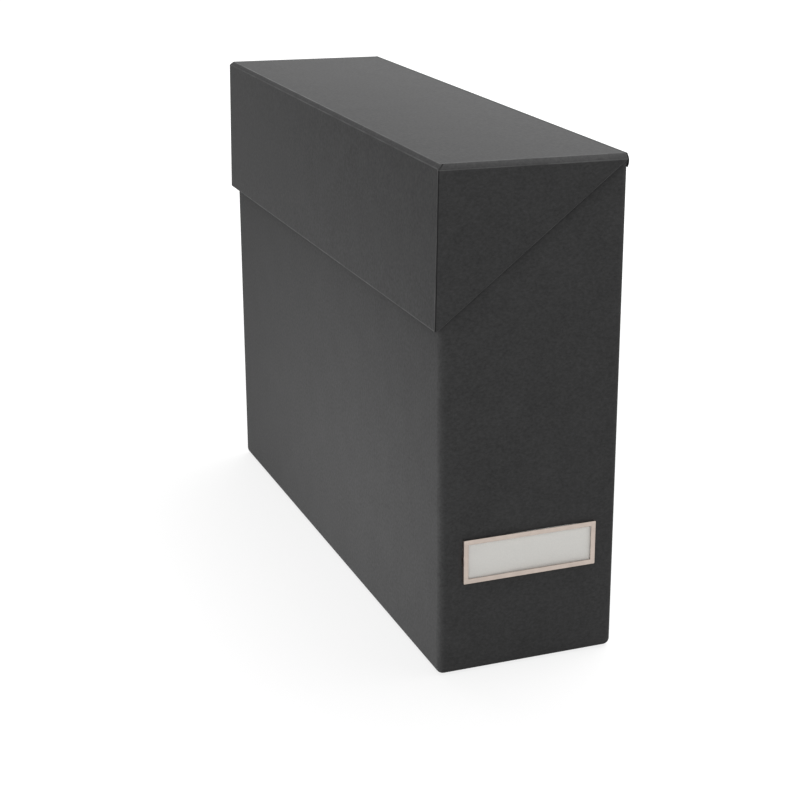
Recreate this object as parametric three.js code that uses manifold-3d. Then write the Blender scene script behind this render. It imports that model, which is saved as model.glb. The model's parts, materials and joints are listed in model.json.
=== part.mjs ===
// Box file with a flip-top lid, a pressed metal label frame and a blank label card.
// Millimetres, +Z up. The origin is the centre of the underside of the box.
// The label end faces -Y and the lid is hinged along the top of the +X side.

import * as THREE from 'three';
import { mergeVertices } from 'three/addons/utils/BufferGeometryUtils.js';
import Module from 'manifold-3d';

const wasm = await Module();
wasm.setup();

// Box
const boxWidth = 91.6;
const boxLength = 328;
const boxHeight = 243.1;
const board = 1.6;
const boxFoldRadius = 3.5;
const insideFoldRadius = 1.9;

// Rim of the box, hidden under the closed lid: the skirt and end flaps of the lid lap over it
const rimOverlap = 21;
const shoulderDrop = 3;
const shoulderDepth = 26;

// Crease along the top of the hinge wall
const hingeGap = 0.3;
const hingeEdgeInset = 1.5;
const creaseBulge = 0.8;
const creaseBulgeHeight = 4.4;

// Lid
const lidBoard = 1.6;
const lidEndGap = 0.4;
const lidFrontGap = 0.4;
const skirtDepth = 75;
const skirtCrease = 1.9;
const endCrease = 2.5;
const insideCrease = 0.9;
const lidCornerRadius = 0.4;
const lidLift = 1.1;

// Seam where each end flap of the lid is glued to the skirt
const seamWidth = 0.5;
const seamDepth = 0.4;
const seamInset = 0.6;
const cornerNotch = 1.6;

// Label frame, centred on the width of the front end
const frameWidth = 68;
const frameHeight = 22;
const frameCentreHeight = 57.8;
const frameBorder = 2.3;
const frameDepth = 1.8;
const frameSheet = 0.5;
const frameCornerRadius = 0.4;
const prongWidth = 5;
const prongReach = 7;
const prongGap = 0.3;

// Label card, which slides into the frame from above
const cardThickness = 0.5;
const cardGap = 0.3;
const cardTopInset = 0.6;

// Steps round each quarter turn
const arcSteps = 4;

const boxLeft = -boxWidth / 2;
const boxRight = boxWidth / 2;
const boxFront = -boxLength / 2;
const boxBack = boxLength / 2;
const hingeHeight = boxHeight + hingeGap;
const lidTop = hingeHeight + lidBoard;
const skirtInside = boxLeft - lidFrontGap;
const skirtOutside = skirtInside - lidBoard;
const skirtBottom = lidTop - skirtDepth;
const frontWallHeight = skirtBottom + rimOverlap;
const shoulderHeight = hingeHeight - shoulderDrop;
const lidInsideEnd = boxLength / 2 + lidEndGap;
const lidOutsideEnd = lidInsideEnd + lidBoard;
const lidRight = boxRight - hingeEdgeInset;
// Cutting solids run this far past the surfaces that they cut.
const past = 5;

function asSolid(geometry) {
  const bare = geometry.clone();
  bare.deleteAttribute('normal');
  bare.deleteAttribute('uv');
  const merged = mergeVertices(bare, 1e-4);
  return new wasm.Manifold(new wasm.Mesh({
    numProp: 3,
    vertProperties: new Float32Array(merged.attributes.position.array),
    triVerts: new Uint32Array(merged.index.array),
  }));
}

function asGeometry(solid) {
  const mesh = solid.getMesh();
  const geometry = new THREE.BufferGeometry();
  geometry.setAttribute('position', new THREE.BufferAttribute(mesh.vertProperties, 3));
  geometry.setIndex(new THREE.BufferAttribute(mesh.triVerts, 1));
  const faceted = geometry.toNonIndexed();
  faceted.computeVertexNormals();
  return faceted;
}

function extrude(shape, length) {
  return new THREE.ExtrudeGeometry(shape, { depth: length, bevelEnabled: false, curveSegments: arcSteps });
}

// A shape drawn in X and Y, from one height to another
function alongZ(shape, from, to) {
  return asSolid(extrude(shape, to - from).translate(0, 0, from));
}

// A shape drawn in X and Z, from one Y to another
function alongY(shape, from, to) {
  return asSolid(extrude(shape, to - from).rotateX(Math.PI / 2).translate(0, to, 0));
}

// A shape drawn in Y and Z, from one X to another
function alongX(shape, from, to) {
  return asSolid(extrude(shape, to - from).rotateX(Math.PI / 2).rotateZ(Math.PI / 2).translate(from, 0, 0));
}

function outline(points) {
  return new THREE.Shape(points.map(([u, v]) => new THREE.Vector2(u, v)));
}

function rectangle(left, right, bottom, top) {
  return outline([[left, bottom], [right, bottom], [right, top], [left, top]]);
}

// A quarter turn about a point, or the plain corner itself where the radius is 0
function roundCorner(shape, u, v, radius, start) {
  if (radius > 0) {
    shape.absarc(u, v, radius, start, start + Math.PI / 2, false);
  } else {
    shape.lineTo(u, v);
  }
}

// A rectangle whose lower and upper corners have their own radius
function roundedRectangle(left, right, bottom, top, lowRadius, highRadius) {
  const shape = new THREE.Shape();
  shape.moveTo(left + lowRadius, bottom);
  roundCorner(shape, right - lowRadius, bottom + lowRadius, lowRadius, -Math.PI / 2);
  roundCorner(shape, right - highRadius, top - highRadius, highRadius, 0);
  roundCorner(shape, left + highRadius, top - highRadius, highRadius, Math.PI / 2);
  roundCorner(shape, left + lowRadius, bottom + lowRadius, lowRadius, Math.PI);
  return shape;
}

function block(left, right, front, back, bottom, top) {
  return alongZ(rectangle(left, right, front, back), bottom, top);
}

// A block whose upright edges and lower edges are rounded like a fold in board
function foldedBlock(left, right, front, back, bottom, top, radius) {
  const footprint = alongZ(roundedRectangle(left, right, front, back, radius, radius), bottom, top);
  const acrossProfile = alongY(roundedRectangle(left, right, bottom, top, radius, 0), front, back);
  const lengthProfile = alongX(roundedRectangle(front, back, bottom, top, radius, 0), left, right);
  return footprint.intersect(acrossProfile).intersect(lengthProfile);
}

// Everything above the rim: a low front wall, ends that slope up, and the full hinge wall
function aboveRim() {
  const hingeWallInside = boxRight - board;
  const clearTop = lidTop + past;
  return alongY(outline([
    [boxLeft - past, frontWallHeight],
    [boxLeft + board, frontWallHeight],
    [boxRight - shoulderDepth, shoulderHeight],
    [hingeWallInside, shoulderHeight],
    [hingeWallInside, clearTop],
    [boxLeft - past, clearTop],
  ]), boxFront - past, boxBack + past);
}

// The board swells outwards where it is creased along the hinge
function creaseBead() {
  const half = creaseBulgeHeight / 2;
  const root = boxRight - board / 2;
  const bead = new THREE.Shape();
  bead.moveTo(root, boxHeight);
  bead.lineTo(root, boxHeight - creaseBulgeHeight);
  bead.lineTo(boxRight, boxHeight - creaseBulgeHeight);
  bead.absellipse(boxRight, boxHeight - half, creaseBulge, half, -Math.PI / 2, Math.PI / 2, false, 0);
  bead.lineTo(root, boxHeight);
  return alongY(bead, boxFront + boxFoldRadius, boxBack - boxFoldRadius);
}

// The label frame stands on the outside of the front end, from frameFace to boxFront
const frameCentre = (boxLeft + boxRight) / 2;
const frameLeft = frameCentre - frameWidth / 2;
const frameRight = frameCentre + frameWidth / 2;
const frameBottom = frameCentreHeight - frameHeight / 2;
const frameTop = frameCentreHeight + frameHeight / 2;
const frameBack = boxFront - prongGap;
const frameFace = frameBack - frameDepth;
const prongBottom = frameCentreHeight - prongWidth / 2;
const prongTop = frameCentreHeight + prongWidth / 2;
const wallInside = boxFront + board;

// One slit in the front end for each prong of the label frame
function prongSlit(side) {
  const outer = frameCentre + side * (frameWidth / 2 + prongGap);
  const inner = frameCentre + side * (frameWidth / 2 - frameSheet - prongGap);
  return block(Math.min(outer, inner), Math.max(outer, inner), boxFront - past, wallInside + past,
    prongBottom - prongGap, prongTop + prongGap);
}

function makeBox() {
  const outside = foldedBlock(boxLeft, boxRight, boxFront, boxBack, 0, boxHeight, boxFoldRadius);
  const inside = foldedBlock(boxLeft + board, boxRight - board, boxFront + board, boxBack - board,
    board, boxHeight + past, insideFoldRadius);
  return outside
    .add(creaseBead())
    .subtract(inside)
    .subtract(aboveRim())
    .subtract(prongSlit(-1))
    .subtract(prongSlit(1));
}

// Outside of the lid: creased flat along the skirt and both ends, rounded at the upright corners
function lidOutside() {
  const across = alongY(outline([
    [skirtOutside, skirtBottom],
    [lidRight, skirtBottom],
    [lidRight, lidTop],
    [skirtOutside + skirtCrease, lidTop],
    [skirtOutside, lidTop - skirtCrease],
  ]), -lidOutsideEnd, lidOutsideEnd);
  const length = alongX(outline([
    [-lidOutsideEnd, skirtBottom],
    [lidOutsideEnd, skirtBottom],
    [lidOutsideEnd, lidTop - endCrease],
    [lidOutsideEnd - endCrease, lidTop],
    [-lidOutsideEnd + endCrease, lidTop],
    [-lidOutsideEnd, lidTop - endCrease],
  ]), skirtOutside, lidRight);
  const footprint = alongZ(roundedRectangle(skirtOutside, lidRight + past, -lidOutsideEnd, lidOutsideEnd,
    lidCornerRadius, lidCornerRadius), skirtBottom, lidTop);
  return across.intersect(length).intersect(footprint);
}

// Hollow of the lid, open below and on the hinge side
function lidHollow() {
  const hollowBottom = skirtBottom - past;
  const across = alongY(outline([
    [skirtInside, hollowBottom],
    [boxRight + past, hollowBottom],
    [boxRight + past, hingeHeight],
    [skirtInside + insideCrease, hingeHeight],
    [skirtInside, hingeHeight - insideCrease],
  ]), -lidInsideEnd, lidInsideEnd);
  const length = alongX(outline([
    [-lidInsideEnd, hollowBottom],
    [lidInsideEnd, hollowBottom],
    [lidInsideEnd, hingeHeight - insideCrease],
    [lidInsideEnd - insideCrease, hingeHeight],
    [-lidInsideEnd + insideCrease, hingeHeight],
    [-lidInsideEnd, hingeHeight - insideCrease],
  ]), skirtInside, boxRight + past);
  return across.intersect(length);
}

// The end flaps are triangles: everything under a line from the skirt to the hinge is cut away
function belowFlaps() {
  return alongY(outline([
    [skirtInside, skirtBottom - past],
    [boxRight + past, skirtBottom - past],
    [boxRight + past, hingeHeight],
    [boxRight, hingeHeight],
    [skirtInside, skirtBottom],
  ]), -lidOutsideEnd - past, lidOutsideEnd + past);
}

// Glued seam down a front corner of the lid, at one of its ends, with the open notch at its top
function cornerSeam(end) {
  const middle = skirtOutside + seamInset;
  const surface = end * lidOutsideEnd;
  const groove = alongZ(outline([
    [middle - seamWidth / 2, surface + end * past],
    [middle - seamWidth / 2, surface],
    [middle, surface - end * seamDepth],
    [middle + seamWidth / 2, surface],
    [middle + seamWidth / 2, surface + end * past],
  ]), skirtBottom - past, lidTop + past);
  const notchDepth = end * (lidOutsideEnd - cornerNotch);
  const notch = alongZ(outline([
    [skirtOutside - past, surface + end * past],
    [skirtOutside - past, surface],
    [middle, notchDepth],
    [skirtOutside + cornerNotch + seamInset, surface],
    [skirtOutside + cornerNotch + seamInset, surface + end * past],
  ]), lidTop - endCrease, lidTop + past);
  return groove.add(notch);
}

function makeLid() {
  return lidOutside()
    .subtract(lidHollow())
    .subtract(belowFlaps())
    .subtract(cornerSeam(-1))
    .subtract(cornerSeam(1));
}

// A strip of the frame's sheet that goes through the wall and is bent flat against its inside
function prong(side) {
  const outer = frameCentre + side * (frameWidth / 2);
  const inner = outer - side * frameSheet;
  const tip = outer - side * prongReach;
  const bendBack = wallInside + prongGap + frameSheet;
  const shank = block(Math.min(outer, inner), Math.max(outer, inner), frameFace + frameSheet, bendBack,
    prongBottom, prongTop);
  const bend = block(Math.min(outer, tip), Math.max(outer, tip), wallInside + prongGap, bendBack,
    prongBottom, prongTop);
  return shank.add(bend);
}

// Pressed frame: a border in front, a thin wall on three sides, and a top that is open for the card
function makeFrame() {
  const plate = alongY(roundedRectangle(frameLeft, frameRight, frameBottom, frameTop,
    frameCornerRadius, frameCornerRadius), frameFace, frameBack);
  const pocket = block(frameLeft + frameSheet, frameRight - frameSheet, frameFace + frameSheet,
    frameBack + past, frameBottom + frameSheet, frameTop + past);
  const window = block(frameLeft + frameBorder, frameRight - frameBorder, frameFace - past, frameBack,
    frameBottom + frameBorder, frameTop - frameBorder);
  return plate
    .subtract(pocket)
    .subtract(window)
    .add(prong(-1))
    .add(prong(1));
}

function makeCard() {
  const cardFace = frameFace + frameSheet + cardGap;
  return block(frameLeft + frameSheet + cardGap, frameRight - frameSheet - cardGap,
    cardFace, cardFace + cardThickness,
    frameBottom + frameSheet + cardGap, frameTop - cardTopInset);
}

const charcoalPaper = { color: 0x4c4c4c, roughness: 0.85, metalness: 0 };
const nickel = { color: 0xc4b8ae, roughness: 0.35, metalness: 1 };
const whiteCard = { color: 0xd8d5cf, roughness: 0.8, metalness: 0 };

function namedMesh(name, solid, finish) {
  const mesh = new THREE.Mesh(asGeometry(solid), new THREE.MeshStandardMaterial(finish));
  mesh.name = name;
  return mesh;
}

// The lid is made shut and square, then turned about its hinge to where its crease lets it rest
const lid = namedMesh('lid', makeLid(), charcoalPaper);
lid.position.set(-boxRight, 0, -hingeHeight);
const lidOnHinge = new THREE.Group();
lidOnHinge.position.set(boxRight, 0, hingeHeight);
lidOnHinge.rotation.y = THREE.MathUtils.degToRad(lidLift);
lidOnHinge.add(lid);

const boxFile = new THREE.Group();
boxFile.name = 'box_file';
boxFile.add(namedMesh('box', makeBox(), charcoalPaper));
boxFile.add(lidOnHinge);
boxFile.add(namedMesh('label_frame', makeFrame(), nickel));
boxFile.add(namedMesh('label_card', makeCard(), whiteCard));

export default boxFile;
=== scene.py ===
"""A box file of charcoal paper-covered board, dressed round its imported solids."""

import json
import math

import bmesh
import bpy
from bpy.props import FloatProperty, FloatVectorProperty, PointerProperty
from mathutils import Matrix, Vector


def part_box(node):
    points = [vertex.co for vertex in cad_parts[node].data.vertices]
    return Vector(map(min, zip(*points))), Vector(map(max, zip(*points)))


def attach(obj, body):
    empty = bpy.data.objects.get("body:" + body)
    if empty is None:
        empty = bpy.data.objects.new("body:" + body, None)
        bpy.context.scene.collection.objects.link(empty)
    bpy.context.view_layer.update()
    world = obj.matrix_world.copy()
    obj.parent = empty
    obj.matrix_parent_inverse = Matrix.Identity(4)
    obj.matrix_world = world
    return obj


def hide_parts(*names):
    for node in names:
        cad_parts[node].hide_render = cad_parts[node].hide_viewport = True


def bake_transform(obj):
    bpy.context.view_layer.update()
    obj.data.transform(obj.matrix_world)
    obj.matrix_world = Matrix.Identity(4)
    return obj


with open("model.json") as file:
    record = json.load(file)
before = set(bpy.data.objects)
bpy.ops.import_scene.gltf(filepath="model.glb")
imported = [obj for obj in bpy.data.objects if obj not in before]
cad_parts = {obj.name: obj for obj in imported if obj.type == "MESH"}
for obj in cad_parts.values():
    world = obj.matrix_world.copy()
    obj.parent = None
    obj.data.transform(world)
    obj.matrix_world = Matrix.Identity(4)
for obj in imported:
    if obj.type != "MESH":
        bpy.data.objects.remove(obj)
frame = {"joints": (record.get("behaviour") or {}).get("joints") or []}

bl_info = {
    "name": "Box File",
    "version": (1, 0, 0),
    "blender": (4, 5, 0),
    "location": "View3D > Sidebar > Box File",
    "description": "Models a folded board box file with a flip-top lid and a metal label frame",
    "category": "Add Mesh",
}

BOX_LOW, BOX_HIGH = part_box("box")
LABEL_LOW, LABEL_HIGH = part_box("label_frame")
CARD_LOW, CARD_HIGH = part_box("label_card")
LID_LOW, LID_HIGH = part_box("lid")
HINGE = Vector(frame["joints"][0]["pos_m"])
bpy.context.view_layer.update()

BOX_BODY = "box_body"
LID_BODY = "lid_body"
MM = 0.001

# How close two places or two points are when they count as one
SAME_PLACE = 0.02 * MM
MERGE_DISTANCE = 0.002 * MM

# Faces along a fold or rim that are narrower than this take a painted highlight in paler paper
HIGHLIGHT_FACE = 0.4 * MM

# Clearance round each prong of the label frame
PRONG_GAP = 0.3 * MM

# Shortest edge of the lid that is rounded, and how far the board turns at one, in degrees
LONG_EDGE = 5 * MM
SQUARE_TURN = (60, 120)
CREASE_TURN = (35, 55)

SELECT_MODES = {
    "verts": (True, False, False),
    "edges": (False, True, False),
    "faces": (False, False, True),
}


def length(name, description, default):
    """A size in metres that a user can change."""
    return FloatProperty(
        name=name, description=description, default=default, unit="LENGTH", subtype="DISTANCE"
    )


def turn(name, description, degrees):
    """An angle that a user can change."""
    return FloatProperty(
        name=name, description=description, default=math.radians(degrees),
        unit="ROTATION", subtype="ANGLE",
    )


def colour(name, description, default):
    """A colour that a user can change."""
    return FloatVectorProperty(
        name=name, description=description, default=default,
        size=3, min=0.0, max=1.0, subtype="COLOR",
    )


class BoxSizes(bpy.types.PropertyGroup):
    """Sizes of the box under the lid."""

    width: length("Width", "Outside width of the box", 2 * HINGE.x)
    length: length("Length", "Outside length of the box", BOX_HIGH[1] - BOX_LOW[1])
    height: length("Height", "Height of the hinge wall", BOX_HIGH[2])
    board: length("Board", "Thickness of the covered board", 1.6 * MM)
    fold: length("Fold radius", "Radius of the folded edges", 3.5 * MM)
    rim: length("Rim radius", "Radius of the paper turned over the rim", 0.5 * MM)
    front_height: length("Front wall", "Height of the low front wall", 191 * MM)
    shoulder_height: length(
        "Shoulder height", "Height of the ends beside the hinge wall", 240.4 * MM
    )
    shoulder_depth: length(
        "Shoulder depth", "Level part of the ends beside the hinge wall", 26 * MM
    )
    bead: length("Crease bead", "How far the board swells along the hinge crease", 0.8 * MM)
    bead_height: length("Bead height", "Height of the swelling along the hinge crease", 4.4 * MM)


class LidSizes(bpy.types.PropertyGroup):
    """Sizes of the flip-top lid."""

    board: length("Board", "Thickness of the covered board", 1.6 * MM)
    end_gap: length("End gap", "Clearance between an end flap and the box", 0.4 * MM)
    front_gap: length("Front gap", "Clearance between the skirt and the box", 0.4 * MM)
    skirt: length("Skirt depth", "Depth of the skirt", 75 * MM)
    skirt_crease: length("Skirt crease", "Width of the flat crease above the skirt", 1.9 * MM)
    end_crease: length("End crease", "Width of the flat crease above each end flap", 2.5 * MM)
    softness: length("Crease softness", "Rounding of the creases", 0.35 * MM)
    rim: length("Rim radius", "Radius of the rims and the upright corners", 0.25 * MM)
    # The paler line along the skirt's lower edge is a painted highlight
    highlight_band: length("Highlight", "Width of the paler line along the skirt's lower edge", 0.4 * MM)
    edge_inset: length("Edge inset", "Distance of the panel's edge from the hinge", 1.5 * MM)
    seam_inset: length("Seam inset", "Distance of the glued seam from the corner", 0.6 * MM)
    seam_width: length("Seam width", "Width of the glued seam", 0.4 * MM)
    seam_depth: length("Seam depth", "Depth of the glued seam", 0.5 * MM)
    notch: length("Notch", "How far the seam runs in along the crease at its top", 3 * MM)
    lift: turn("Lift", "Angle that the lid rests open", 1.1)


class CreaseSizes(bpy.types.PropertyGroup):
    """Sizes of the paper laid round the hinge crease, an oval bend seen from the end."""

    paper: length("Paper", "Thickness of the two layers of covering paper", 0.25 * MM)
    width: length("Bend width", "Half the width of the oval bend", 2.9 * MM)
    height: length("Bend height", "Half the height of the oval bend", 4.26 * MM)
    bulge: length("Bulge", "How far the bend stands out past the hinge wall", 1.0 * MM)
    rise: length("Rise", "How far the bend stands above the hinge line", 1.76 * MM)
    inset: length("Inset", "Distance of the paper's ends from the ends of the box", 1.2 * MM)
    tuck: length("Tuck", "How far the ends turn in at the rounded corners", 0.4 * MM)
    start: turn("Start", "Where the bend leaves the lid", 100)
    finish: turn("Finish", "Where the bend meets the wall", -42)


class LabelSizes(bpy.types.PropertyGroup):
    """Sizes of the label frame and its card."""

    border: length("Border", "Width of the frame's front border", 2.3 * MM)
    depth: length("Depth", "How far the frame stands off the box", 1.8 * MM)
    sheet: length("Sheet", "Thickness of the pressed metal", 0.5 * MM)
    corner: length("Corner radius", "Radius of the frame's corners", 0.4 * MM)
    edge: length("Edge radius", "Rounding of the metal's edges", 0.2 * MM)
    prong: length("Prong width", "Width of each prong", 5 * MM)
    prong_reach: length("Prong reach", "Length of each prong's bent end", 7 * MM)
    card_rest: length("Card rest", "How far the card drops back against the box", 0.25 * MM)
    bow: length("Card bow", "How far the middle of the card bows", 0.12 * MM)


class BoxFileColours(bpy.types.PropertyGroup):
    """Colours of the finishes."""

    paper: colour("Paper", "Charcoal covering paper", (0.0352, 0.0352, 0.0355))
    thread: colour("Thread", "Pale fibres in the covering paper", (0.0638, 0.0638, 0.0642))
    metal: colour("Metal", "Satin nickel of the label frame", (0.54, 0.46, 0.408))
    card: colour("Card", "Uncoated label card", (0.90, 0.885, 0.845))


def sizes_of(context, group):
    """One group of the scene's settings."""
    return getattr(context.scene, group)


def deselect_all():
    """Nothing selected, so that an operator acts on the new piece alone."""
    if bpy.context.object and bpy.context.object.mode != "OBJECT":
        bpy.ops.object.mode_set(mode="OBJECT")
    bpy.ops.object.select_all(action="DESELECT")


def activate(piece):
    """Selects one piece alone and makes it active."""
    deselect_all()
    piece.select_set(True)
    bpy.context.view_layer.objects.active = piece


def add_block(name, low, high):
    """A block between two corners, with its place in its mesh, in edit mode."""
    deselect_all()
    middle = [(a + b) / 2 for a, b in zip(low, high)]
    bpy.ops.mesh.primitive_cube_add(size=1, location=middle)
    piece = bpy.context.object
    piece.name = name
    piece.data.name = name
    piece.dimensions = [b - a for a, b in zip(low, high)]
    bpy.ops.object.transform_apply(location=True, rotation=True, scale=True)
    bpy.ops.object.mode_set(mode="EDIT")
    return piece


def pick(piece, kind, test):
    """Selects the faces, edges or vertices of the piece in edit mode that pass a test."""
    bpy.context.tool_settings.mesh_select_mode = SELECT_MODES[kind]
    bpy.ops.mesh.select_all(action="DESELECT")
    mesh = bmesh.from_edit_mesh(piece.data)
    mesh.normal_update()
    picked = [item for item in getattr(mesh, kind) if test(item)]
    if not picked:
        raise RuntimeError(f"{piece.name}: nothing of its {kind} was found")
    for item in picked:
        item.select_set(True)
    mesh.select_flush_mode()
    bmesh.update_edit_mesh(piece.data)


def near(a, b, tolerance=SAME_PLACE):
    """Whether two measures are the same but for rounding."""
    return abs(a - b) < tolerance


def facing(direction, least=0.98):
    """A test for faces that look along a direction."""
    direction = Vector(direction).normalized()
    return lambda face: face.normal.dot(direction) > least


def cut(piece, test, point, normal):
    """Cuts the faces that pass a test along a plane."""
    pick(piece, "faces", test)
    bpy.ops.mesh.bisect(plane_co=point, plane_no=normal)


def remove(piece, test):
    """Takes out the faces that pass a test."""
    pick(piece, "faces", test)
    bpy.ops.mesh.delete(type="FACE")


def slice_off(point, normal):
    """Slices off what lies where the normal points, and closes the cut."""
    bpy.ops.mesh.select_all(action="SELECT")
    bpy.ops.mesh.bisect(plane_co=point, plane_no=normal, use_fill=True, clear_outer=True)


def finish_mesh(piece):
    """Back to object mode, with doubles merged and normals pointing out."""
    bpy.ops.mesh.select_all(action="SELECT")
    bpy.ops.mesh.remove_doubles(threshold=MERGE_DISTANCE)
    bpy.ops.mesh.normals_make_consistent(inside=False)
    bpy.ops.object.mode_set(mode="OBJECT")


def add_modifier(piece, kind, **settings):
    """Adds a modifier and applies it."""
    activate(piece)
    modifier = piece.modifiers.new(kind, kind)
    for name, value in settings.items():
        setattr(modifier, name, value)
    bpy.ops.object.modifier_apply(modifier=modifier.name)


def give_thickness(piece, board):
    """Thickens an open shell inwards."""
    add_modifier(piece, "SOLIDIFY", thickness=board, offset=-1, use_even_offset=True)


def bevel_picked(radius, segments):
    """Rounds the edges picked in edit mode, also where their neighbours are short."""
    bpy.ops.mesh.bevel(
        offset=radius, segments=segments, profile=0.5, affect="EDGES", clamp_overlap=False
    )


def round_edges(piece, radius, angle, segments=3):
    """Rounds every edge at which the faces turn by more than an angle."""
    add_modifier(
        piece, "BEVEL", width=radius, segments=segments, limit_method="ANGLE",
        angle_limit=math.radians(angle), harden_normals=False,
    )


def smooth(piece, angle):
    """Smooth shading over the edges that turn by less than an angle."""
    activate(piece)
    bpy.ops.object.shade_smooth_by_angle(angle=math.radians(angle))


def give_finish(piece, material):
    """Gives the whole piece one material."""
    piece.data.materials.clear()
    piece.data.materials.append(material)


def paint_edge_highlights(piece, width):
    """Marks the narrow faces along folds and rims for a painted highlight in paler paper."""
    mesh = piece.data
    worn = mesh.attributes.new("worn", "FLOAT", "FACE")
    for face in mesh.polygons:
        sides = [(mesh.vertices[a].co - mesh.vertices[b].co).length for a, b in face.edge_keys]
        worn.data[face.index].value = 1.0 if face.area < max(sides) * width else 0.0


def cut_groove(piece, test, point, across, width, push):
    """Presses a straight groove into the flat faces that pass a test."""
    across = Vector(across).normalized()
    point = Vector(point)

    def in_groove(face):
        return test(face) and abs((face.calc_center_median() - point).dot(across)) < width / 2

    for side in (-0.5, 0.5):
        cut(piece, test, point + across * width * side, across)
    pick(piece, "faces", in_groove)
    bpy.ops.mesh.extrude_region_move(TRANSFORM_OT_translate={"value": push})


class BOXFILE_OT_box(bpy.types.Operator):
    """Fold the box: bottom, hinge wall, low front wall and two sloping ends"""

    bl_idname = "box_file.box"
    bl_label = "Box"

    def execute(self, context):
        size = sizes_of(context, "box_sizes")
        left, right = -size.width / 2, size.width / 2
        front, back = -size.length / 2, size.length / 2
        box = add_block("box_board", (left, front, 0), (right, back, size.height))
        remove(box, facing((0, 0, 1)))
        self.round_folds(box, size)
        self.swell_crease(box, size, right)
        self.cut_rim(box, size, left, right)
        finish_mesh(box)
        give_thickness(box, size.board)
        self.cut_prong_slits(context, box, size)
        round_edges(box, size.rim, 60)
        # The narrow faces along folds and rims get a painted highlight
        paint_edge_highlights(box, HIGHLIGHT_FACE)
        smooth(box, 35)
        give_finish(box, make_paper(context))
        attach(box, BOX_BODY)
        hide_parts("box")
        return {"FINISHED"}

    def round_folds(self, box, size):
        """Every edge is a fold but the four round the open top."""
        def is_fold(edge):
            return not all(near(v.co.z, size.height) for v in edge.verts)

        pick(box, "edges", is_fold)
        bevel_picked(size.fold, segments=6)

    def swell_crease(self, box, size, right):
        """Rows along the top of the hinge wall, moved out into a low round bead."""
        rows = 6
        low = size.height - size.bead_height
        hinge_side = right - 0.6 * MM
        for row in range(rows):
            height = low + size.bead_height * row / rows
            cut(box, facing((1, 0, 0), least=0.6), (0, 0, height), (0, 0, 1))
        for row in range(1, rows):
            height = low + size.bead_height * row / rows
            out = size.bead * math.sin(math.pi * row / rows)
            pick(box, "verts", lambda v, h=height: v.co.x > hinge_side and near(v.co.z, h))
            bpy.ops.transform.translate(value=(out, 0, 0))

    def cut_rim(self, box, size, left, right):
        """The ends slope from the low front wall up to a level shoulder by the hinge wall."""
        slightly = 0.02
        start = Vector((left + size.board, 0, size.front_height))
        shoulder = Vector((right - size.shoulder_depth, 0, size.shoulder_height))
        above_slope = Vector((start.z - shoulder.z, 0, shoulder.x - start.x))
        hinge_side = right - size.board

        def is_cut_down(face):
            sideways = abs(face.normal.y) > slightly or face.normal.x < -slightly
            return sideways and face.calc_center_median().x < hinge_side

        def is_above_rim(face):
            middle = face.calc_center_median()
            over_slope = middle.z > start.z and (middle - start).dot(above_slope) > 0
            return is_cut_down(face) and (over_slope or middle.z > shoulder.z)

        cut(box, is_cut_down, start, (0, 0, 1))
        cut(box, is_cut_down, start, above_slope)
        cut(box, is_cut_down, shoulder, (0, 0, 1))
        remove(box, is_above_rim)

    def cut_prong_slits(self, context, box, size):
        """One slit through the label end for each prong of the frame."""
        label = sizes_of(context, "label_sizes")
        front = -size.length / 2
        reach = 5 * MM
        middle = (LABEL_LOW[2] + LABEL_HIGH[2]) / 2
        low = middle - label.prong / 2 - PRONG_GAP
        high = middle + label.prong / 2 + PRONG_GAP
        for side, edge in ((1, LABEL_LOW[0]), (-1, LABEL_HIGH[0])):
            inner = edge + side * (label.sheet + PRONG_GAP)
            outer = edge - side * PRONG_GAP
            cutter = add_block(
                "slit_cutter",
                (min(inner, outer), front - reach, low),
                (max(inner, outer), front + reach, high),
            )
            bpy.ops.object.mode_set(mode="OBJECT")
            add_modifier(box, "BOOLEAN", object=cutter, operation="DIFFERENCE", solver="EXACT")
            bpy.data.objects.remove(cutter)


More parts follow.
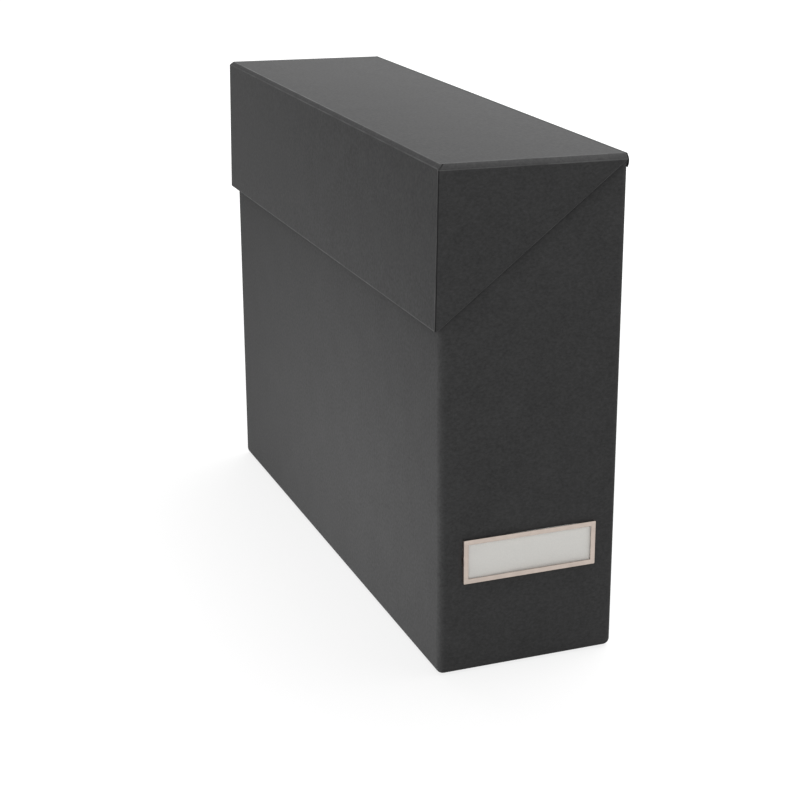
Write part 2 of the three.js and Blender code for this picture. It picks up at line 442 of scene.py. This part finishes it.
class BOXFILE_OT_lid(bpy.types.Operator):
    """Fold the lid: top panel, skirt and two triangular end flaps with flat creases"""

    bl_idname = "box_file.lid"
    bl_label = "Lid"

    def execute(self, context):
        size = sizes_of(context, "lid_sizes")
        box = sizes_of(context, "box_sizes")
        top = HINGE.z + size.board
        skirt_inside = -box.width / 2 - size.front_gap
        outside = skirt_inside - size.board
        end = box.length / 2 + size.end_gap + size.board
        bottom = top - size.skirt
        edge = HINGE.x - size.edge_inset
        lid = add_block("lid_board", (outside, -end, bottom), (edge, end, top))
        self.flatten_creases(lid, size, outside, end, top)
        remove(lid, lambda face: facing((0, 0, -1))(face) or facing((1, 0, 0))(face))
        self.cut_flaps(lid, skirt_inside, bottom)
        finish_mesh(lid)
        give_thickness(lid, size.board)
        bpy.ops.object.mode_set(mode="EDIT")
        self.soften(lid, size)
        # A narrow strip along the skirt's lower edge, which takes a painted highlight
        cut(lid, facing((-1, 0, 0)), (0, 0, bottom + size.rim + size.highlight_band), (0, 0, 1))
        bpy.ops.object.mode_set(mode="OBJECT")
        # The narrow faces along creases, rims and the skirt's lower edge get a painted highlight
        paint_edge_highlights(lid, 2 * size.highlight_band)
        bpy.ops.object.mode_set(mode="EDIT")
        self.press_seams(lid, size, outside, end, top)
        bpy.ops.mesh.select_all(action="SELECT")
        bpy.ops.transform.rotate(value=-size.lift, orient_axis="Y", center_override=HINGE)
        bpy.ops.object.mode_set(mode="OBJECT")
        smooth(lid, 35)
        give_finish(lid, make_paper(context))
        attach(lid, LID_BODY)
        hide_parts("lid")
        return {"FINISHED"}

    def flatten_creases(self, lid, size, outside, end, top):
        """Each crease is a narrow flat strip between the panel and what folds down from it."""
        slice_off((outside, 0, top - size.skirt_crease), (-1, 0, 1))
        for side in (-1, 1):
            slice_off((0, side * end, top - size.end_crease), (0, side, 1))

    def soften(self, lid, size):
        """Small rounds along the rims, down the corners and on both sides of each crease."""
        def turns_by(least, most):
            def test(edge):
                if len(edge.link_faces) != 2 or not edge.is_convex:
                    return False
                long = edge.calc_length() >= LONG_EDGE
                return long and least < math.degrees(edge.calc_face_angle()) < most
            return test

        for angles, radius in ((SQUARE_TURN, size.rim), (CREASE_TURN, size.softness)):
            pick(lid, "edges", turns_by(*angles))
            bevel_picked(radius, segments=3)

    def cut_flaps(self, lid, skirt_inside, bottom):
        """Everything under a line from the skirt to the hinge is cut off the ends."""
        start = Vector((skirt_inside, 0, bottom))
        along = Vector((HINGE.x, 0, HINGE.z)) - start
        below = Vector((along.z, 0, -along.x))

        def is_end(face):
            return abs(face.normal.y) > 0.5

        def is_below(face):
            return is_end(face) and (face.calc_center_median() - start).dot(below) > 0

        cut(lid, is_end, start, below)
        remove(lid, is_below)

    def press_seams(self, lid, size, outside, end, top):
        """The end flap's glued edge down each corner, open at its top where the creases meet."""
        seam = outside + size.seam_inset
        strip = end + top - size.end_crease - 0.2 * MM
        for side in (-1, 1):
            def is_flap(face, s=side):
                on_flap = near(face.calc_center_median().y, s * end)
                return on_flap and facing((0, s, 0), least=0.99)(face)

            def is_strip(face, s=side):
                middle = face.calc_center_median()
                on_strip = abs(middle.y) + middle.z > strip
                return on_strip and facing((0, s, 1), least=0.99)(face)

            inwards = Vector((0, -side, 0)) * size.seam_depth
            cut_groove(lid, is_flap, (seam, 0, 0), (1, 0, 0), size.seam_width, inwards)
            start = Vector((seam, 0, top - size.end_crease))
            along = Vector((size.notch, 0, size.end_crease))
            across = Vector((along.z, 0, -along.x))
            inwards = Vector((0, -side, -1)).normalized() * size.seam_depth
            cut_groove(lid, is_strip, start, across, size.seam_width, inwards)


class BOXFILE_OT_crease(bpy.types.Operator):
    """Lay the covering paper over the hinge crease, from the hinge wall to the lid"""

    bl_idname = "box_file.crease"
    bl_label = "Hinge crease"

    def execute(self, context):
        size = sizes_of(context, "crease_sizes")
        box = sizes_of(context, "box_sizes")
        end = box.length / 2
        steps, rows = 18, 3
        corner = end - box.fold + MM
        deselect_all()
        bpy.ops.mesh.primitive_grid_add(x_subdivisions=steps, y_subdivisions=rows, size=1)
        crease = bpy.context.object
        crease.name = "hinge_crease"
        crease.data.name = "hinge_crease"
        bpy.ops.object.mode_set(mode="EDIT")
        for step in range(steps + 1):
            column = step / steps - 0.5
            angle = size.start + (size.finish - size.start) * step / steps
            out = HINGE.x + size.bulge - size.width + size.width * math.cos(angle)
            up = HINGE.z + size.rise - size.height + size.height * math.sin(angle)
            pick(crease, "verts", lambda v, c=column: near(v.co.x, c) and near(v.co.z, 0))
            bpy.ops.transform.translate(value=(out - column, 0, up))
        for row, reach in ((0.5, end - size.inset), (0.5 / rows, end - box.fold)):
            for side in (-1, 1):
                pick(crease, "verts", lambda v, y=side * row: near(v.co.y, y, tolerance=0.1 * MM))
                bpy.ops.transform.translate(value=(0, side * (reach - row), 0))
        # The paper turns in a little where it meets the rounded corners
        pick(crease, "verts", lambda v: abs(v.co.y) > corner and v.co.x > HINGE.x)
        bpy.ops.transform.translate(value=(-size.tuck, 0, 0))
        finish_mesh(crease)
        self.face_outwards(crease)
        give_thickness(crease, size.paper)
        smooth(crease, 60)
        give_finish(crease, make_paper(context))
        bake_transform(crease)
        return {"FINISHED"}

    def face_outwards(self, crease):
        """Turns the strip over if its faces look in at the board."""
        middle = crease.data.polygons[len(crease.data.polygons) // 2]
        if middle.normal.x < 0:
            bpy.ops.object.mode_set(mode="EDIT")
            bpy.ops.mesh.select_all(action="SELECT")
            bpy.ops.mesh.flip_normals()
            bpy.ops.object.mode_set(mode="OBJECT")


class BOXFILE_OT_label_frame(bpy.types.Operator):
    """Press the label frame, open at the top, with a prong at each side"""

    bl_idname = "box_file.label_frame"
    bl_label = "Label frame"

    def execute(self, context):
        size = sizes_of(context, "label_sizes")
        box = sizes_of(context, "box_sizes")
        face = LABEL_LOW[1]
        back = face + size.depth
        low = (LABEL_LOW[0], face, LABEL_LOW[2])
        high = (LABEL_HIGH[0], back, LABEL_HIGH[2])
        shell = add_block("label_frame_metal", low, high)

        def runs_inwards(edge):
            first, second = edge.verts
            return near(first.co.x, second.co.x) and near(first.co.z, second.co.z)

        pick(shell, "edges", runs_inwards)
        bevel_picked(size.corner, segments=4)
        remove(shell, facing((0, 1, 0)))
        remove(shell, facing((0, 0, 1)))
        self.open_window(shell, size, face)
        finish_mesh(shell)
        give_thickness(shell, size.sheet)
        prongs = [self.make_prong(size, box, face, side) for side in (-1, 1)]
        activate(shell)
        for prong in prongs:
            prong.select_set(True)
        bpy.ops.object.join()
        round_edges(shell, size.edge, 40)
        smooth(shell, 50)
        give_finish(shell, make_nickel(context))
        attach(shell, BOX_BODY)
        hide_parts("label_frame")
        return {"FINISHED"}

    def open_window(self, shell, size, face):
        """Four cuts round the window, and the face between them taken out."""
        left, right = LABEL_LOW[0] + size.border, LABEL_HIGH[0] - size.border
        bottom, top = LABEL_LOW[2] + size.border, LABEL_HIGH[2] - size.border
        planes = (((left, 0, 0), (1, 0, 0)), ((right, 0, 0), (1, 0, 0)),
                  ((0, 0, bottom), (0, 0, 1)), ((0, 0, top), (0, 0, 1)))
        for point, normal in planes:
            cut(shell, facing((0, -1, 0)), point, normal)

        def in_window(item):
            middle = item.calc_center_median()
            inside = left < middle.x < right and bottom < middle.z < top
            return inside and facing((0, -1, 0))(item)

        remove(shell, in_window)

    def make_prong(self, size, box, face, side):
        """A strip of the frame's side that goes through the wall and turns in behind it."""
        overlap = 0.05 * MM
        edge = LABEL_HIGH[0] if side > 0 else LABEL_LOW[0]
        start = face + size.depth - overlap
        inside = -box.length / 2 + box.board + PRONG_GAP
        middle = (LABEL_LOW[2] + LABEL_HIGH[2]) / 2
        inner = edge - side * size.sheet
        tip = edge - side * size.prong_reach
        low, high = middle - size.prong / 2, middle + size.prong / 2
        prong = add_block(
            "prong", (min(edge, inner), start, low), (max(edge, inner), inside, high)
        )
        pick(prong, "faces", facing((0, 1, 0)))
        bpy.ops.mesh.extrude_region_move(TRANSFORM_OT_translate={"value": (0, size.sheet, 0)})
        pick(prong, "faces", lambda item: item.normal.x * side < -0.9
             and item.calc_center_median().y > inside)
        bpy.ops.mesh.extrude_region_move(TRANSFORM_OT_translate={"value": (tip - inner, 0, 0)})
        bpy.ops.object.mode_set(mode="OBJECT")
        return prong


class BOXFILE_OT_label_card(bpy.types.Operator):
    """Cut the blank card that stands in the label frame"""

    bl_idname = "box_file.label_card"
    bl_label = "Label card"

    def execute(self, context):
        size = sizes_of(context, "label_sizes")
        card = add_block("label_card_paper", CARD_LOW, CARD_HIGH)
        bpy.ops.transform.translate(value=(0, size.card_rest, 0))
        middle = (CARD_LOW[0] + CARD_HIGH[0]) / 2
        half = (CARD_HIGH[0] - CARD_LOW[0]) / 2
        columns = 16
        cut_edge = 0.08 * MM
        for column in range(1, columns):
            bpy.ops.mesh.select_all(action="SELECT")
            place = CARD_LOW[0] + 2 * half * column / columns
            bpy.ops.mesh.bisect(plane_co=(place, 0, 0), plane_no=(1, 0, 0))
            bow = size.bow * (1 - ((place - middle) / half) ** 2)
            pick(card, "verts", lambda v, p=place: near(v.co.x, p))
            bpy.ops.transform.translate(value=(0, bow, 0))
        bpy.ops.object.mode_set(mode="OBJECT")
        round_edges(card, cut_edge, 60, segments=2)
        smooth(card, 40)
        give_finish(card, make_card(context))
        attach(card, BOX_BODY)
        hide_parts("label_card")
        return {"FINISHED"}


def new_material(name):
    """A new node material, with its tree and its main shader."""
    material = bpy.data.materials.new(name)
    material.use_nodes = True
    tree = material.node_tree
    return material, tree, tree.nodes["Principled BSDF"]


def feed(tree, value, socket):
    """Gives a socket a plain value, or links it to what another node puts out."""
    if isinstance(value, bpy.types.NodeSocket):
        tree.links.new(value, socket)
    else:
        socket.default_value = value


def stretched_noise(tree, coordinates, stretch, scale, detail, roughness):
    """Noise whose grain can be drawn out along the object's own directions."""
    mapping = tree.nodes.new("ShaderNodeMapping")
    mapping.inputs["Scale"].default_value = stretch
    noise = tree.nodes.new("ShaderNodeTexNoise")
    noise.inputs["Scale"].default_value = scale
    noise.inputs["Detail"].default_value = detail
    noise.inputs["Roughness"].default_value = roughness
    tree.links.new(coordinates, mapping.inputs["Vector"])
    tree.links.new(mapping.outputs["Vector"], noise.inputs["Vector"])
    return noise.outputs["Fac"]


def mix_values(tree, factor, first, second):
    """A value between two others."""
    mix = tree.nodes.new("ShaderNodeMix")
    mix.data_type = "FLOAT"
    for socket, value in (("Factor", factor), ("A", first), ("B", second)):
        feed(tree, value, mix.inputs[socket])
    return mix.outputs["Result"]


def mix_colours(tree, factor, first, second):
    """A colour socket faded to a plain colour."""
    mix = tree.nodes.new("ShaderNodeMix")
    mix.data_type = "RGBA"
    tree.links.new(factor, mix.inputs["Factor"])
    tree.links.new(first, mix.inputs[6])
    mix.inputs[7].default_value = (*second, 1)
    return mix.outputs[2]


def calculate(tree, operation, first, second=0.0):
    """The result of one sum on one or two values."""
    node = tree.nodes.new("ShaderNodeMath")
    node.operation = operation
    feed(tree, first, node.inputs[0])
    feed(tree, second, node.inputs[1])
    return node.outputs["Value"]


def tint(tree, factor, dark, light, low, high):
    """A colour ramp between two colours."""
    ramp = tree.nodes.new("ShaderNodeValToRGB")
    ramp.color_ramp.elements[0].position = low
    ramp.color_ramp.elements[0].color = (*dark, 1)
    ramp.color_ramp.elements[1].position = high
    ramp.color_ramp.elements[1].color = (*light, 1)
    tree.links.new(factor, ramp.inputs["Fac"])
    return ramp.outputs["Color"]


def bump(tree, height, strength, distance):
    """Fine relief that is shaded only."""
    node = tree.nodes.new("ShaderNodeBump")
    node.inputs["Strength"].default_value = strength
    node.inputs["Distance"].default_value = distance
    tree.links.new(height, node.inputs["Height"])
    return node.outputs["Normal"]


def make_paper(context):
    """Charcoal covering paper: fine fibre, softly clouded, with a painted highlight in paler paper
    on the narrow faces along folds and rims.
    """
    name = "charcoal_paper"
    if name in bpy.data.materials:
        return bpy.data.materials[name]
    colours = sizes_of(context, "box_file_colours")
    material, tree, shader = new_material(name)
    place = tree.nodes.new("ShaderNodeTexCoord")
    split = tree.nodes.new("ShaderNodeSeparateXYZ")
    tree.links.new(place.outputs["Normal"], split.inputs["Vector"])
    sideways = calculate(tree, "ABSOLUTE", split.outputs["Y"])
    on_end = calculate(tree, "GREATER_THAN", sideways, 0.8)
    objects = place.outputs["Object"]
    grain = {"scale": 900, "detail": 3, "roughness": 0.65}
    round_box = stretched_noise(tree, objects, stretch=(0.8, 0.7, 0.7), **grain)
    across_end = stretched_noise(tree, objects, stretch=(0.7, 1.0, 1.0), **grain)
    fibre = mix_values(tree, on_end, round_box, across_end)
    cloud = stretched_noise(
        tree, objects, stretch=(1, 1, 1), scale=60, detail=4, roughness=0.6
    )
    fine = calculate(tree, "MULTIPLY", fibre, 0.7)
    broad = calculate(tree, "MULTIPLY", cloud, 0.3)
    shade = calculate(tree, "ADD", fine, broad)
    plain = tint(tree, shade, colours.paper, colours.thread, low=0.30, high=0.75)
    # Painted highlight: the marked narrow faces along folds and rims turn paler, in patches
    worn = tree.nodes.new("ShaderNodeAttribute")
    worn.attribute_name = "worn"
    patches = tree.nodes.new("ShaderNodeMapRange")
    patches.inputs["From Min"].default_value = 0.2
    patches.inputs["From Max"].default_value = 0.8
    tree.links.new(cloud, patches.inputs["Value"])
    painted_highlight = calculate(tree, "MULTIPLY", worn.outputs["Fac"], patches.outputs["Result"])
    lightening = 1.8
    pale = [c * lightening for c in colours.thread]
    relief = bump(tree, fibre, strength=0.35, distance=0.12 * MM)
    tree.links.new(mix_colours(tree, painted_highlight, plain, pale), shader.inputs["Base Color"])
    tree.links.new(mix_values(tree, cloud, 0.78, 0.88), shader.inputs["Roughness"])
    tree.links.new(relief, shader.inputs["Normal"])
    shader.inputs["Specular IOR Level"].default_value = 0.15
    return material


def make_nickel(context):
    """Satin nickel plate on pressed steel."""
    colours = sizes_of(context, "box_file_colours")
    material, tree, shader = new_material("satin_nickel")
    objects = tree.nodes.new("ShaderNodeTexCoord").outputs["Object"]
    brushed = stretched_noise(
        tree, objects, stretch=(0.12, 1, 1), scale=2600, detail=2, roughness=0.5
    )
    worn = stretched_noise(
        tree, objects, stretch=(1, 1, 1), scale=180, detail=3, roughness=0.6
    )
    dulling = 0.86
    dull = [c * dulling for c in colours.metal]
    base = tint(tree, worn, dull, colours.metal, low=0.3, high=0.7)
    tree.links.new(base, shader.inputs["Base Color"])
    tree.links.new(mix_values(tree, brushed, 0.28, 0.44), shader.inputs["Roughness"])
    relief = bump(tree, brushed, strength=0.15, distance=0.02 * MM)
    tree.links.new(relief, shader.inputs["Normal"])
    shader.inputs["Metallic"].default_value = 1.0
    return material


def make_card(context):
    """Uncoated card with a faint fibre."""
    colours = sizes_of(context, "box_file_colours")
    material, tree, shader = new_material("white_card")
    objects = tree.nodes.new("ShaderNodeTexCoord").outputs["Object"]
    fibre = stretched_noise(
        tree, objects, stretch=(1, 1, 1), scale=1400, detail=3, roughness=0.6
    )
    greying = 0.95
    grey = [c * greying for c in colours.card]
    base = tint(tree, fibre, grey, colours.card, low=0.3, high=0.7)
    relief = bump(tree, fibre, strength=0.2, distance=0.03 * MM)
    tree.links.new(base, shader.inputs["Base Color"])
    tree.links.new(relief, shader.inputs["Normal"])
    shader.inputs["Roughness"].default_value = 0.75
    return material


def camera_only(tree, shader_for_camera, shader_for_rest):
    """Shows one shader to the camera, gloss and glass, and another to everything else."""
    path = tree.nodes.new("ShaderNodeLightPath")
    seen = calculate(tree, "MAXIMUM", path.outputs["Is Camera Ray"], path.outputs["Is Glossy Ray"])
    seen = calculate(tree, "MAXIMUM", seen, path.outputs["Is Transmission Ray"])
    mix = tree.nodes.new("ShaderNodeMixShader")
    tree.links.new(seen, mix.inputs["Fac"])
    tree.links.new(shader_for_rest, mix.inputs[1])
    tree.links.new(shader_for_camera, mix.inputs[2])
    return mix.outputs["Shader"]


class BOXFILE_OT_stage(bpy.types.Operator):
    """Set up the pale floor, the soft lamps and the camera"""

    bl_idname = "box_file.stage"
    bl_label = "Stage"

    def execute(self, context):
        self.make_floor()
        self.light_world(context.scene)
        self.make_lamp(
            "lamp_top", place=(0.6, 0.4, 1.5), target=(0, 0, 0.2),
            width=1.8, height=1.8, power=42,
        )
        self.make_lamp(
            "lamp_left", place=(-0.27, -0.05, 0.01), target=(0, -0.05, 0.03),
            width=0.34, height=0.03, power=0.76,
        )
        self.make_lamp(
            "lamp_front", place=(-0.7, -1.7, 0.9), target=(0, 0, 0.12),
            width=1.2, height=1.2, power=7.8,
        )
        self.make_camera(context.scene)
        context.scene.view_settings.view_transform = "Standard"
        return {"FINISHED"}

    def make_floor(self):
        """A floor that fades out into the white background."""
        deselect_all()
        bpy.ops.mesh.primitive_plane_add(size=16, location=(0, 0, -0.0002))
        floor = bpy.context.object
        floor.name = "floor"
        material, tree, shader = new_material("pale_floor")
        shader.inputs["Base Color"].default_value = (0.36, 0.36, 0.36, 1)
        shader.inputs["Roughness"].default_value = 1.0
        shader.inputs["Specular IOR Level"].default_value = 0.0
        shaded = tree.nodes.new("ShaderNodeBsdfDiffuse")
        shaded.inputs["Color"].default_value = (0.2, 0.2, 0.2, 1)
        glow = tree.nodes.new("ShaderNodeEmission")
        reach = tree.nodes.new("ShaderNodeVectorMath")
        reach.operation = "LENGTH"
        tree.links.new(tree.nodes.new("ShaderNodeTexCoord").outputs["Object"], reach.inputs[0])
        fade = tree.nodes.new("ShaderNodeMapRange")
        fade.inputs["From Min"].default_value = 0.4
        fade.inputs["From Max"].default_value = 1.1
        fade.inputs["To Min"].default_value = 0.8
        fade.inputs["To Max"].default_value = 1.0
        tree.links.new(reach.outputs["Value"], fade.inputs["Value"])
        tree.links.new(fade.outputs["Result"], glow.inputs["Strength"])
        lit = tree.nodes.new("ShaderNodeAddShader")
        tree.links.new(glow.outputs["Emission"], lit.inputs[0])
        tree.links.new(shaded.outputs["BSDF"], lit.inputs[1])
        surface = camera_only(tree, lit.outputs["Shader"], shader.outputs["BSDF"])
        tree.links.new(surface, tree.nodes["Material Output"].inputs["Surface"])
        floor.data.materials.append(material)

    def light_world(self, scene):
        """Soft light from all round, and plain white where the camera looks past the floor."""
        world = bpy.data.worlds.new("studio")
        scene.world = world
        world.use_nodes = True
        tree = world.node_tree
        soft = tree.nodes["Background"]
        soft.inputs["Color"].default_value = (1, 1, 1, 1)
        soft.inputs["Strength"].default_value = 0.46
        seen = tree.nodes.new("ShaderNodeBackground")
        seen.inputs["Color"].default_value = (1, 1, 1, 1)
        seen.inputs["Strength"].default_value = 1.0
        surface = camera_only(tree, seen.outputs["Background"], soft.outputs["Background"])
        tree.links.new(surface, tree.nodes["World Output"].inputs["Surface"])

    def make_lamp(self, name, place, target, width, height, power):
        """A soft rectangular lamp that looks at a target."""
        lamp = bpy.data.lights.new(name, "AREA")
        lamp.shape = "RECTANGLE"
        lamp.size = width
        lamp.size_y = height
        lamp.energy = power
        holder = bpy.data.objects.new(name, lamp)
        holder.location = place
        direction = Vector(target) - Vector(place)
        holder.rotation_euler = direction.to_track_quat("-Z", "Y").to_euler()
        bpy.context.scene.collection.objects.link(holder)

    def make_camera(self, scene):
        """The camera stands to the left of the label end and looks down on the lid."""
        azimuth = math.radians(-20.630)
        elevation = math.radians(18.885)
        roll = math.radians(-0.234)
        camera = bpy.data.cameras.new("camera")
        camera.lens = 80.834
        camera.sensor_width = 36
        holder = bpy.data.objects.new("camera", camera)
        holder.location = (-332.31 * MM, -874.63 * MM, 401.16 * MM)
        holder.rotation_euler = (math.pi / 2 - elevation, 0, azimuth)
        holder.rotation_euler.rotate_axis("Z", roll)
        scene.collection.objects.link(holder)
        scene.camera = holder


class BOXFILE_PT_panel(bpy.types.Panel):
    """Sizes, colours and pieces of the box file"""

    bl_idname = "BOXFILE_PT_panel"
    bl_label = "Box File"
    bl_space_type = "VIEW_3D"
    bl_region_type = "UI"
    bl_category = "Box File"

    def draw(self, context):
        for name in SETTINGS:
            column = self.layout.column(align=True)
            group = getattr(context.scene, name)
            for key in group.__annotations__:
                column.prop(group, key)
        for operator in PIECES:
            self.layout.operator(operator.bl_idname)


SETTINGS = {
    "box_sizes": BoxSizes,
    "lid_sizes": LidSizes,
    "crease_sizes": CreaseSizes,
    "label_sizes": LabelSizes,
    "box_file_colours": BoxFileColours,
}
PIECES = (
    BOXFILE_OT_box,
    BOXFILE_OT_lid,
    BOXFILE_OT_crease,
    BOXFILE_OT_label_frame,
    BOXFILE_OT_label_card,
    BOXFILE_OT_stage,
)


def register():
    for group in SETTINGS.values():
        bpy.utils.register_class(group)
    for name, group in SETTINGS.items():
        setattr(bpy.types.Scene, name, PointerProperty(type=group))
    for operator in PIECES:
        bpy.utils.register_class(operator)
    bpy.utils.register_class(BOXFILE_PT_panel)


def unregister():
    bpy.utils.unregister_class(BOXFILE_PT_panel)
    for operator in reversed(PIECES):
        bpy.utils.unregister_class(operator)
    for name, group in SETTINGS.items():
        delattr(bpy.types.Scene, name)
        bpy.utils.unregister_class(group)


def main():
    register()
    bpy.ops.box_file.box()
    bpy.ops.box_file.lid()
    bpy.ops.box_file.crease()
    bpy.ops.box_file.label_frame()
    bpy.ops.box_file.label_card()
    bpy.ops.box_file.stage()


if __name__ == "__main__":
    main()
